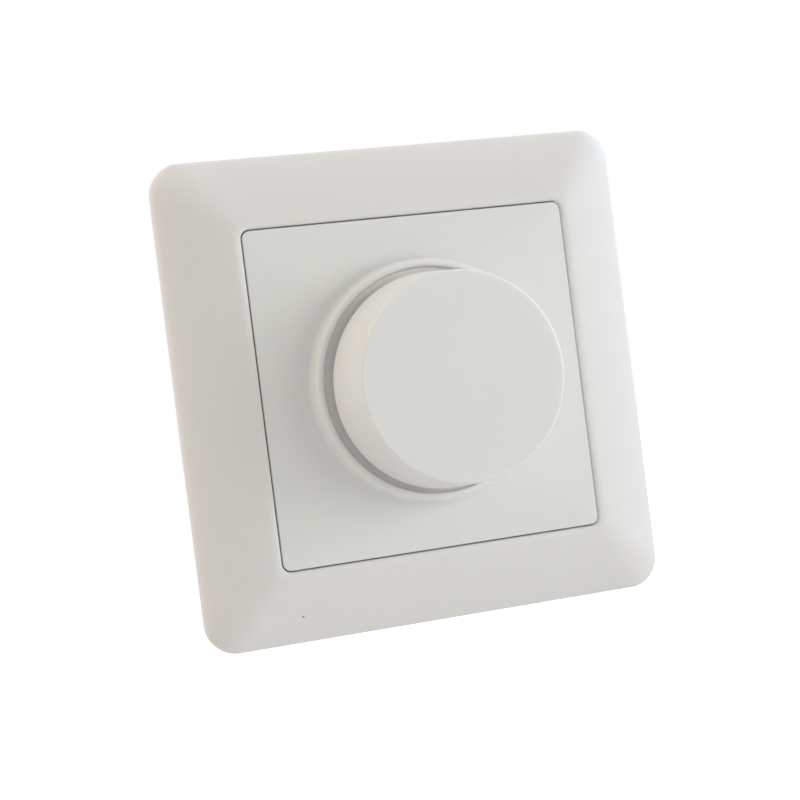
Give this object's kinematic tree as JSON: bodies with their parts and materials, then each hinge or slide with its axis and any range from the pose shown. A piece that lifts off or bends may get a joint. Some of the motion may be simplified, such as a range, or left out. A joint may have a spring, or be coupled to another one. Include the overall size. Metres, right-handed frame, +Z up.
{
  "type": "rotary dimmer switch",
  "caption": "Flush-mounted rotary dimmer with a square surround, a centre plate with a round collar and a smooth knob that turns to dim and pushes to switch.",
  "frame": {"origin": "centre of the square on the wall plane, where the mounting strap's back face lies", "axes": "-Y out of the wall towards the user, +Y into the wall, +Z up, +X to the right as seen from the front"},
  "size_m": [0.08, 0.053, 0.08],
  "materials": {
    "frame_plastic": "smooth satin white moulded plastic",
    "plate_plastic": "smooth satin white moulded plastic",
    "knob_plastic": "smooth satin white moulded plastic",
    "spring_steel": "bright spring steel",
    "shaft_steel": "ground steel",
    "nut_steel": "zinc plated",
    "bushing_brass": "turned brass",
    "strap_steel": "zinc plated sheet",
    "insert_plastic": "dark grey moulded plastic",
    "housing_plastic": "dark grey moulded plastic",
    "screw_steel": "zinc plated",
    "case_plastic": "black moulded plastic",
    "track_board": "brown laminate",
    "wiper_plastic": "natural nylon",
    "circuit_laminate": "green laminate",
    "contact_brass": "brass strip",
    "trimmer_plastic": "blue moulded plastic",
    "ferrite": "dark grey ferrite",
    "copper_wire": "lacquered copper wire",
    "capacitor_case": "yellow moulded case",
    "pad_rubber": "grey silicone pad",
    "capacitor_sleeve": "dark sleeve",
    "resistor_coat": "beige coating",
    "fuse_glass": "clear glass",
    "tinned_metal": "tin plated",
    "terminal_plastic": "grey moulded plastic"
  },
  "bodies": {
    "base": {"surround_frame": "frame_plastic", "cover_plate": "plate_plastic", "cover_nut": "nut_steel", "cover_washer": "nut_steel", "bushing_nut": "nut_steel", "threaded_bushing": "bushing_brass", "mounting_strap": "strap_steel", "insert_cover": "insert_plastic", "rear_housing": "housing_plastic", "housing_screws": "screw_steel", "potentiometer_body": "case_plastic", "potentiometer_track": "track_board", "circuit_board": "circuit_laminate", "switch_body": "case_plastic", "switch_contacts": "contact_brass", "return_spring": "spring_steel", "trimmer_body": "trimmer_plastic", "choke_core": "ferrite", "choke_winding": "copper_wire", "film_capacitor": "capacitor_case", "insulating_pad": "pad_rubber", "power_transistor": "case_plastic", "tab_rivet": "screw_steel", "smoothing_capacitor": "capacitor_sleeve", "resistors": "resistor_coat", "fuse_tube": "fuse_glass", "fuse_caps": "tinned_metal", "fuse_clips": "tinned_metal", "terminal_block": "terminal_plastic", "clamp_cages": "tinned_metal", "clamp_screws": "screw_steel"},
    "push_carriage": {"switch_slider": "wiper_plastic", "contact_bridge": "contact_brass"},
    "turning_knob": {"knob": "knob_plastic", "knob_clip": "spring_steel", "control_shaft": "shaft_steel"},
    "wiper": {"potentiometer_rotor": "wiper_plastic"},
    "preset_spindle": {"trimmer_rotor": "wiper_plastic"}
  },
  "joints": [
    {"name": "knob_push", "type": "slide", "parent": "base", "child": "push_carriage", "axis": [0, 1, 0], "range_m": [0, 0.0018], "stiffness_N_per_m": 1200, "springref_m": -0.0015, "deforming": ["return_spring"]},
    {"name": "knob_turn", "type": "hinge", "parent": "push_carriage", "child": "turning_knob", "pos_m": [0, 0, 0], "axis": [0, 1, 0], "range_deg": [0, 270]},
    {"name": "wiper_turn", "type": "hinge", "parent": "base", "child": "wiper", "pos_m": [0, 0.009, 0], "axis": [0, 1, 0], "range_deg": [0, 270]},
    {"name": "preset_turn", "type": "hinge", "parent": "base", "child": "preset_spindle", "pos_m": [-0.0156, 0.004, 0.006], "axis": [0, 1, 0], "range_deg": [-135, 135]}
  ],
  "couplings": [
    {"joint": "wiper_turn", "follows": "knob_turn", "ratio": 1}
  ]
}
